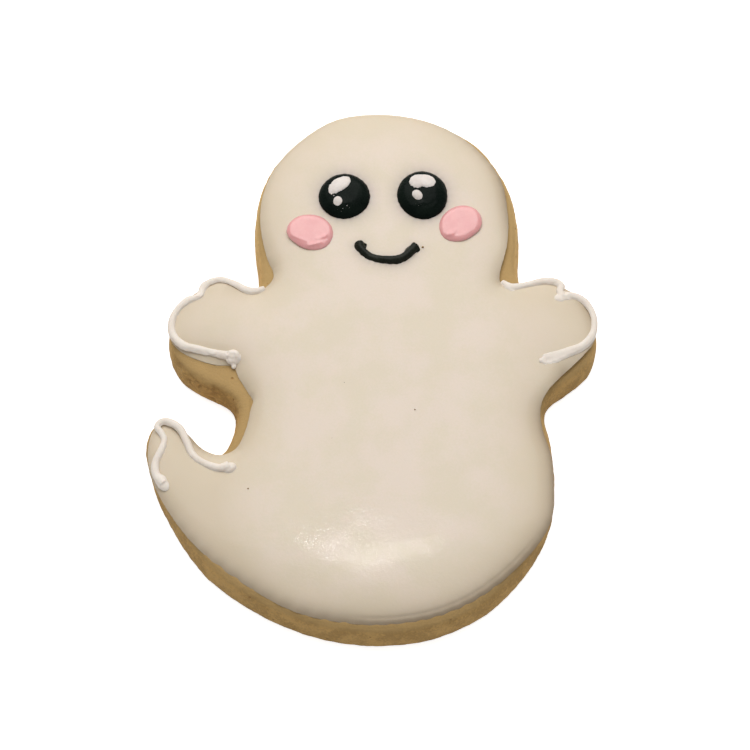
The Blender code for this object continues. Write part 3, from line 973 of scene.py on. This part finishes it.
dough_finish, tree, shader = start_finish("baked_dough", Specular_IOR_Level=0.25)
tones = place_group(tree, drift, Light=DOUGH_LIGHT, Dark=DOUGH_DARK, Patches_per_mm=0.30, Flecks_per_mm=2.6,
                    Fleck_share=1.2)
crumb = place_group(tree, grain, Grains_per_mm=2.6, Ripples_per_mm=0.9, Ripple_share=0.8)
pores = place_group(tree, pinholes, Cells_per_mm=0.55, Radius=0.16, Empty_share=0.72)
axes = add_node(tree, "ShaderNodeSeparateXYZ")
tree.links.new(in_millimetres(tree), axes.inputs["Vector"])
level = calculate(tree, "ADD", axes.outputs["Z"], calculate(tree, "MULTIPLY", tones["Mask"], 1.2))
browned = stretch(tree, level, 0.2, 2.0, 0.4, 0.0)
# The bare top is darker: partly toasted, partly painted shade.
toasted_and_shade = stretch(tree, axes.outputs["Z"], 4.9, 6.0, 0.0, 0.85)
# Painted light: the dough is paler towards the head.
painted_light_to_head = stretch(tree, axes.outputs["Y"], 4.0, 20.0, 0.0, 0.9)
colour = blend_colours(tree, painted_light_to_head, tones["Color"], DOUGH_PAINTED_LIGHT)
colour = blend_colours(tree, browned, colour, DOUGH_BROWNED_AND_PIT_SHADE)
colour = blend_colours(tree, toasted_and_shade, colour, DOUGH_TOASTED_AND_SHADE)
# Painted shade: the cracks are darkened.
crack_shade = calculate(tree, "MULTIPLY", read_value(tree, "cracks"), 0.8)
colour = blend_colours(tree, crack_shade, colour, DOUGH_CRACK_SHADE_AND_CRUMB)
# Painted shadow: a narrow dark line on the dough along the icing's foot.
contact_shade = calculate(tree, "MULTIPLY", stretch(tree, read_value(tree, "from_icing"), 0.05, 0.32, 0.2, 0.0),
                 stretch(tree, axes.outputs["Z"], 5.0, 5.8))
colour = blend_colours(tree, contact_shade, colour, DOUGH_CONTACT_SHADE)
# Painted shade: the pinholes are darkened.
colour = blend_colours(tree, pores["Mask"], colour, DOUGH_BROWNED_AND_PIT_SHADE)
tree.links.new(colour, shader.inputs["Base Color"])
tree.links.new(stretch(tree, crumb["Sparkle"], 0.0, 1.0, 0.72, 0.9), shader.inputs["Roughness"])
crumb_height = calculate(tree, "SUBTRACT", crumb["Height"], pores["Mask"])
raise_skin(tree, shader, crumb_height, 0.09)
dough.data.materials.append(dough_finish)
print("finish:", dough_finish.name)

# %% Finish: crumbs
CRUMB_DARK = (0.075, 0.050, 0.035)

crumb_finish, tree, shader = start_finish("dark_crumb", Specular_IOR_Level=0.2, Roughness=0.85)
tones = place_group(tree, drift, Light=DOUGH_CRACK_SHADE_AND_CRUMB, Dark=CRUMB_DARK, Patches_per_mm=1.2, Flecks_per_mm=4.0,
                    Fleck_share=0.5)
tree.links.new(tones["Color"], shader.inputs["Base Color"])
crumbs.data.materials.append(crumb_finish)
print("finish:", crumb_finish.name)

# %% [markdown]
# ### Flood icing
# Ivory, dense and satin: light goes a little way in, and the surface has a soft shine full of tiny sparks.
# The tone drifts between a warm and a paler ivory. It is darker near the rim and over the tail, partly where
# it lies shallow and partly painted shade. The lower and upper rims at the right, and the upper left rim, are
# darker still, partly thin icing over the dough and partly painted shade. Round the eyes and the smile it is
# darker too, partly black that bled into it and partly painted shade at their feet.

# %% Finish: flood icing
IVORY_PINK = (0.815, 0.705, 0.600)
IVORY_YELLOW = (0.770, 0.680, 0.540)
# Painted shade near the rim and over the tail, partly the tone of shallow icing.
IVORY_SHALLOW_AND_SHADE = (0.69, 0.585, 0.435)
# Painted shade on the lower and upper rims, partly thin icing over the dough.
IVORY_THIN_AND_SHADE = (0.30, 0.212, 0.130)
# Painted shade round the eyes and the smile, partly bled black dye.
BLACK_BLED_AND_SHADE = (0.40, 0.345, 0.34)

icing_finish, tree, shader = start_finish(
    "flood_icing", Specular_IOR_Level=0.15, Subsurface_Weight=0.12, Subsurface_Scale=1.2 * MM,
    Subsurface_Radius=(1.0, 0.65, 0.4))
tones = place_group(tree, drift, Light=IVORY_PINK, Dark=IVORY_YELLOW, Patches_per_mm=0.12, Flecks_per_mm=2.4,
                    Fleck_share=0.55)
sugar = place_group(tree, grain, Grains_per_mm=2.0, Ripples_per_mm=0.5, Ripple_share=0.6)
# Painted shade near the rim and over the tail, partly shallow icing.
shallow_and_shade = calculate(tree, "MULTIPLY", read_value(tree, "shallow_rim_and_shade"), 0.85)
# Painted shade on the lower and upper rims, partly thin icing over the dough.
thin_and_shade = calculate(tree, "MULTIPLY", read_value(tree, "thin_rim_and_shade"), 0.85)
colour = blend_colours(tree, shallow_and_shade, tones["Color"], IVORY_SHALLOW_AND_SHADE)
colour = blend_colours(tree, thin_and_shade, colour, IVORY_THIN_AND_SHADE)
# Painted shade round the eyes and the smile, partly bled black dye.
bled_and_shade = calculate(tree, "MULTIPLY", read_value(tree, "dye_and_contact_shade"), 0.6)
colour = blend_colours(tree, bled_and_shade, colour, BLACK_BLED_AND_SHADE)
tree.links.new(colour, shader.inputs["Base Color"])
tree.links.new(stretch(tree, sugar["Sparkle"], 0.0, 1.0, 0.06, 0.11), shader.inputs["Roughness"])
raise_skin(tree, shader, sugar["Height"], 0.016)
icing.data.materials.append(icing_finish)
print("finish:", icing_finish.name)

# %% [markdown]
# ### Piped icing and glints
# The beads and the dabs on the eyes are a stiffer icing, whiter and a little cooler than the flood. One
# function makes both finishes, because only their tones differ.

# %% Finish: piped icing and glint icing
def stiff_icing(name, pale, shade):
    """Makes the finish of a stiff white icing from its two tones."""
    finish, tree, shader = start_finish(
        name, Specular_IOR_Level=0.35, Subsurface_Weight=0.12, Subsurface_Scale=0.6 * MM,
        Subsurface_Radius=(1.0, 0.75, 0.55))
    tones = place_group(tree, drift, Light=pale, Dark=shade, Patches_per_mm=0.3, Flecks_per_mm=2.5,
                        Fleck_share=0.4)
    sugar = place_group(tree, grain, Grains_per_mm=3.5, Ripples_per_mm=1.1, Ripple_share=1.0)
    tree.links.new(tones["Color"], shader.inputs["Base Color"])
    tree.links.new(stretch(tree, sugar["Sparkle"], 0.0, 1.0, 0.42, 0.58), shader.inputs["Roughness"])
    raise_skin(tree, shader, sugar["Height"], 0.02)
    print("finish:", name)
    return finish


bead_finish = stiff_icing("piped_icing", (0.87, 0.79, 0.705), (0.825, 0.74, 0.65))
glint_finish = stiff_icing("glint_icing", (0.80, 0.73, 0.68), (0.70, 0.63, 0.585))
for bead in (left_bead, right_bead, tail_bead):
    bead.data.materials.append(bead_finish)
for dab in (*glints, specks_and_sparks):
    dab.data.materials.append(glint_finish)

# %% [markdown]
# ### Black and pink icing
# Coloured icing sets glossier than white. The black is almost neutral with a trace of green. On the smile it
# is a shade lighter than on the eyes, a painted sheen. The pink is a soft candy tone. All keep the fine grain,
# so a reflection breaks up into sparks.

# %% Finish: black and pink icing
EYE_BLACKS = ((0.005, 0.009, 0.0065), (0.002, 0.005, 0.0035))
# Painted sheen: the smile's black is a shade lighter than the eyes'.
SMILE_BLACKS_PAINTED_SHEEN = ((0.014, 0.016, 0.010), (0.008, 0.010, 0.006))
PINKS = ((0.81, 0.385, 0.375), (0.78, 0.350, 0.345))


def coloured_icing(name, pale, shade, roughness, specular, depth, glow):
    """Makes the finish of a coloured icing: tones, how rough and shiny it is, grain depth and glow."""
    finish, tree, shader = start_finish(
        name, Specular_IOR_Level=specular, Subsurface_Weight=glow, Subsurface_Scale=0.8 * MM,
        Subsurface_Radius=(1.0, 0.5, 0.45))
    tones = place_group(tree, drift, Light=pale, Dark=shade, Patches_per_mm=0.35, Flecks_per_mm=2.0,
                        Fleck_share=0.4)
    sugar = place_group(tree, grain, Grains_per_mm=3.0, Ripples_per_mm=0.8, Ripple_share=1.4)
    tree.links.new(tones["Color"], shader.inputs["Base Color"])
    gloss = stretch(tree, sugar["Sparkle"], 0.0, 1.0, roughness, roughness + 0.08)
    tree.links.new(gloss, shader.inputs["Roughness"])
    raise_skin(tree, shader, sugar["Height"], depth)
    print("finish:", name)
    return finish


black_finish = coloured_icing("black_icing", *EYE_BLACKS, roughness=0.22, specular=0.06, depth=0.03, glow=0.0)
smile_finish = coloured_icing(
    "black_piping", *SMILE_BLACKS_PAINTED_SHEEN, roughness=0.26, specular=0.14, depth=0.03, glow=0.0)
pink_finish = coloured_icing("pink_icing", *PINKS, roughness=0.12, specular=0.9, depth=0.012, glow=0.15)
smile.data.materials.append(smile_finish)
for piece in eyes:
    piece.data.materials.append(black_finish)
for cheek in cheeks:
    cheek.data.materials.append(pink_finish)

# %% [markdown]
# ## Put it together
# Each piece rides on the cookie's one body, and the solid that it was copied from is hidden. A table lists
# the slot of the record that each piece's finish belongs to. The crumbs, the specks and the painted sparks
# stand for no solid.

# %% Ride, hide the solids and list the slots
dressed = {
    dough: ("cookie", "cookie"),
    icing: ("icing", "icing"),
    left_bead: ("piping_left_arm", "piping"),
    right_bead: ("piping_right_arm", "piping"),
    tail_bead: ("piping_tail", "piping"),
    smile: ("mouth", "black_icing"),
}
for number, side in enumerate(("left", "right")):
    dressed[eyes[number]] = ("eye_" + side, "black_icing")
    dressed[cheeks[number]] = ("cheek_" + side, "pink_icing")
for glint, place in zip(glints, GLINTS):
    dressed[glint] = ("glint_" + place, "glint")
for piece, (node, slot) in dressed.items():
    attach(piece, "root")
    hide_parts(node)
for piece, slot in ((crumbs, "cookie"), (specks_and_sparks, "glint")):
    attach(piece, "root")
print("pieces:", len(dressed) + 2)
